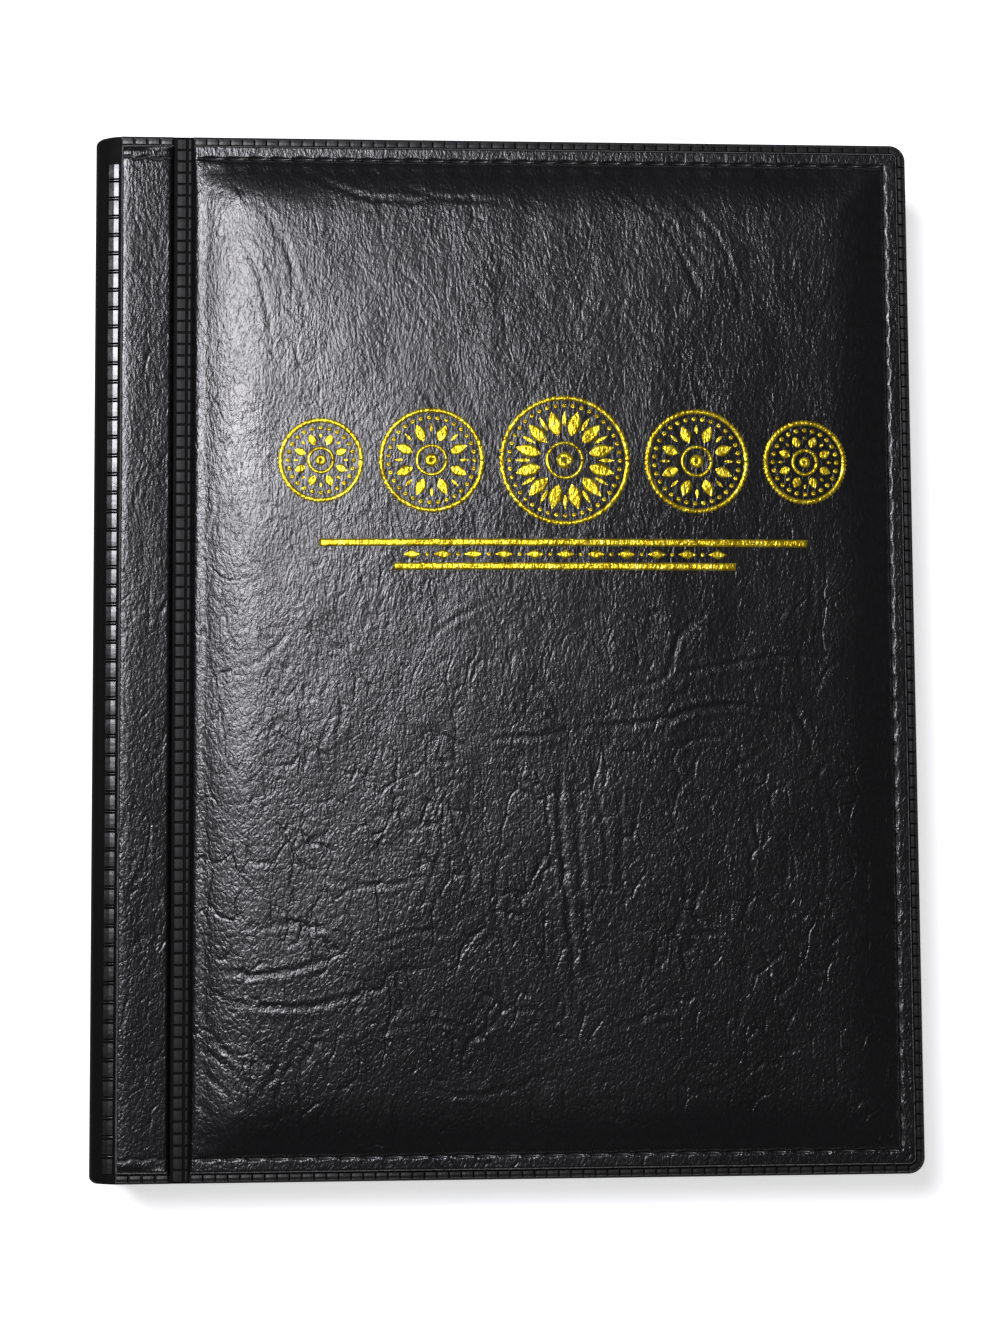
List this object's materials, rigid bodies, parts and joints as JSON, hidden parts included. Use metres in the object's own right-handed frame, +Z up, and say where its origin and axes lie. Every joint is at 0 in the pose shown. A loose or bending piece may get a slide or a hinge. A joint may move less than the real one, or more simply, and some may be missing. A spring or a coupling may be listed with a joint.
{
  "type": "coin album",
  "caption": "Closed padded leatherette pocket album for coins, with sewn covers, ribbed welded hinges, a separate spine strip and clear riveted pocket pages.",
  "frame": {"origin": "centre of the bottom of the box around the closed album, which lies on its back cover", "axes": "+Z up, from the back cover to the front cover; the spine is at -X and the fore edge at +X; +Y is the head of the album"},
  "size_m": [0.162, 0.205, 0.0258],
  "materials": {
    "leatherette": "black pebbled PVC leatherette, satin, with soft creases",
    "lining_film": "black matt vinyl lining",
    "greyboard": "plain greyboard",
    "foam": null,
    "sewing_thread": "dark grey twisted polyester thread",
    "gold_foil": "hot-stamped gold foil with the grain showing through",
    "clear_film": "clear soft PVC film",
    "binding_film": "welded clear PVC, milky where it is layered",
    "clamp_plastic": "black moulded plastic bar",
    "backing_card": "black card",
    "rivet_steel": "nickel-plated tubular rivets"
  },
  "bodies": {
    "back_cover": {"back_skin": "leatherette", "back_foam": "foam", "back_board": "greyboard", "back_lining": "lining_film", "back_seam_thread": "sewing_thread"},
    "back_strip": {"back_strip_skin": "leatherette", "back_strip_board": "greyboard", "back_strip_lining": "lining_film", "back_groove_web": "leatherette"},
    "spine": {"spine_skin": "leatherette", "spine_board": "greyboard", "spine_lining": "lining_film", "page_backing_strip": "backing_card", "back_clamp_bar": "clamp_plastic", "front_clamp_bar": "clamp_plastic", "page_tabs": "binding_film", "tab_spacers": "binding_film", "binding_rivets": "rivet_steel", "back_fold_web": "leatherette"},
    "front_strip": {"front_strip_skin": "leatherette", "front_strip_board": "greyboard", "front_strip_lining": "lining_film", "front_fold_web": "leatherette"},
    "front_cover": {"front_skin": "leatherette", "front_foam": "foam", "front_board": "greyboard", "front_lining": "lining_film", "front_seam_thread": "sewing_thread", "front_foil_stamp": "gold_foil", "front_groove_web": "leatherette"},
    "page_01": {"page_01_back_film": "clear_film", "page_01_front_film": "clear_film"},
    "page_02": {"page_02_back_film": "clear_film", "page_02_front_film": "clear_film"},
    "page_03": {"page_03_back_film": "clear_film", "page_03_front_film": "clear_film"},
    "page_04": {"page_04_back_film": "clear_film", "page_04_front_film": "clear_film"},
    "page_05": {"page_05_back_film": "clear_film", "page_05_front_film": "clear_film"},
    "page_06": {"page_06_back_film": "clear_film", "page_06_front_film": "clear_film"},
    "page_07": {"page_07_back_film": "clear_film", "page_07_front_film": "clear_film"},
    "page_08": {"page_08_back_film": "clear_film", "page_08_front_film": "clear_film"},
    "page_09": {"page_09_back_film": "clear_film", "page_09_front_film": "clear_film"},
    "page_10": {"page_10_back_film": "clear_film", "page_10_front_film": "clear_film"}
  },
  "joints": [
    {"name": "back_groove", "type": "hinge", "parent": "back_cover", "child": "back_strip", "pos_m": [-0.0639, 0, 0.0051], "axis": [0, -1, 0], "range_deg": [0, 90], "deforming": ["back_groove_web"]},
    {"name": "back_fold", "type": "hinge", "parent": "back_strip", "child": "spine", "pos_m": [-0.078, 0, 0.0057], "axis": [0, -1, 0], "range_deg": [0, 90], "deforming": ["back_fold_web"]},
    {"name": "front_fold", "type": "hinge", "parent": "spine", "child": "front_strip", "pos_m": [-0.078, 0, 0.0201], "axis": [0, -1, 0], "range_deg": [0, 90], "deforming": ["front_fold_web"]},
    {"name": "front_groove", "type": "hinge", "parent": "front_strip", "child": "front_cover", "pos_m": [-0.0639, 0, 0.0207], "axis": [0, -1, 0], "range_deg": [0, 90], "deforming": ["front_groove_web"]},
    {"name": "page_01_crease", "type": "hinge", "parent": "spine", "child": "page_01", "pos_m": [-0.06845, 0, 0.0183], "axis": [0, -1, 0], "range_deg": [0, 90]},
    {"name": "page_02_crease", "type": "hinge", "parent": "spine", "child": "page_02", "pos_m": [-0.06845, 0, 0.0171], "axis": [0, -1, 0], "range_deg": [0, 70]},
    {"name": "page_03_crease", "type": "hinge", "parent": "spine", "child": "page_03", "pos_m": [-0.06845, 0, 0.0159], "axis": [0, -1, 0], "range_deg": [0, 50]},
    {"name": "page_04_crease", "type": "hinge", "parent": "spine", "child": "page_04", "pos_m": [-0.06845, 0, 0.0147], "axis": [0, -1, 0], "range_deg": [0, 30]},
    {"name": "page_05_crease", "type": "hinge", "parent": "spine", "child": "page_05", "pos_m": [-0.06845, 0, 0.0135], "axis": [0, -1, 0], "range_deg": [0, 10]},
    {"name": "page_06_crease", "type": "hinge", "parent": "spine", "child": "page_06", "pos_m": [-0.06845, 0, 0.0123], "axis": [0, -1, 0], "range_deg": [-10, 0]},
    {"name": "page_07_crease", "type": "hinge", "parent": "spine", "child": "page_07", "pos_m": [-0.06845, 0, 0.0111], "axis": [0, -1, 0], "range_deg": [-30, 0]},
    {"name": "page_08_crease", "type": "hinge", "parent": "spine", "child": "page_08", "pos_m": [-0.06845, 0, 0.0099], "axis": [0, -1, 0], "range_deg": [-50, 0]},
    {"name": "page_09_crease", "type": "hinge", "parent": "spine", "child": "page_09", "pos_m": [-0.06845, 0, 0.0087], "axis": [0, -1, 0], "range_deg": [-70, 0]},
    {"name": "page_10_crease", "type": "hinge", "parent": "spine", "child": "page_10", "pos_m": [-0.06845, 0, 0.0075], "axis": [0, -1, 0], "range_deg": [-90, 0]}
  ],
  "couplings": [
    {"joint": "front_fold", "follows": "back_fold", "ratio": 1},
    {"joint": "page_01_crease", "follows": "back_fold", "ratio": 1},
    {"joint": "page_02_crease", "follows": "back_fold", "ratio": 0.77778},
    {"joint": "page_03_crease", "follows": "back_fold", "ratio": 0.55556},
    {"joint": "page_04_crease", "follows": "back_fold", "ratio": 0.33333},
    {"joint": "page_05_crease", "follows": "back_fold", "ratio": 0.11111},
    {"joint": "page_06_crease", "follows": "back_fold", "ratio": -0.11111},
    {"joint": "page_07_crease", "follows": "back_fold", "ratio": -0.33333},
    {"joint": "page_08_crease", "follows": "back_fold", "ratio": -0.55556},
    {"joint": "page_09_crease", "follows": "back_fold", "ratio": -0.77778},
    {"joint": "page_10_crease", "follows": "back_fold", "ratio": -1}
  ]
}
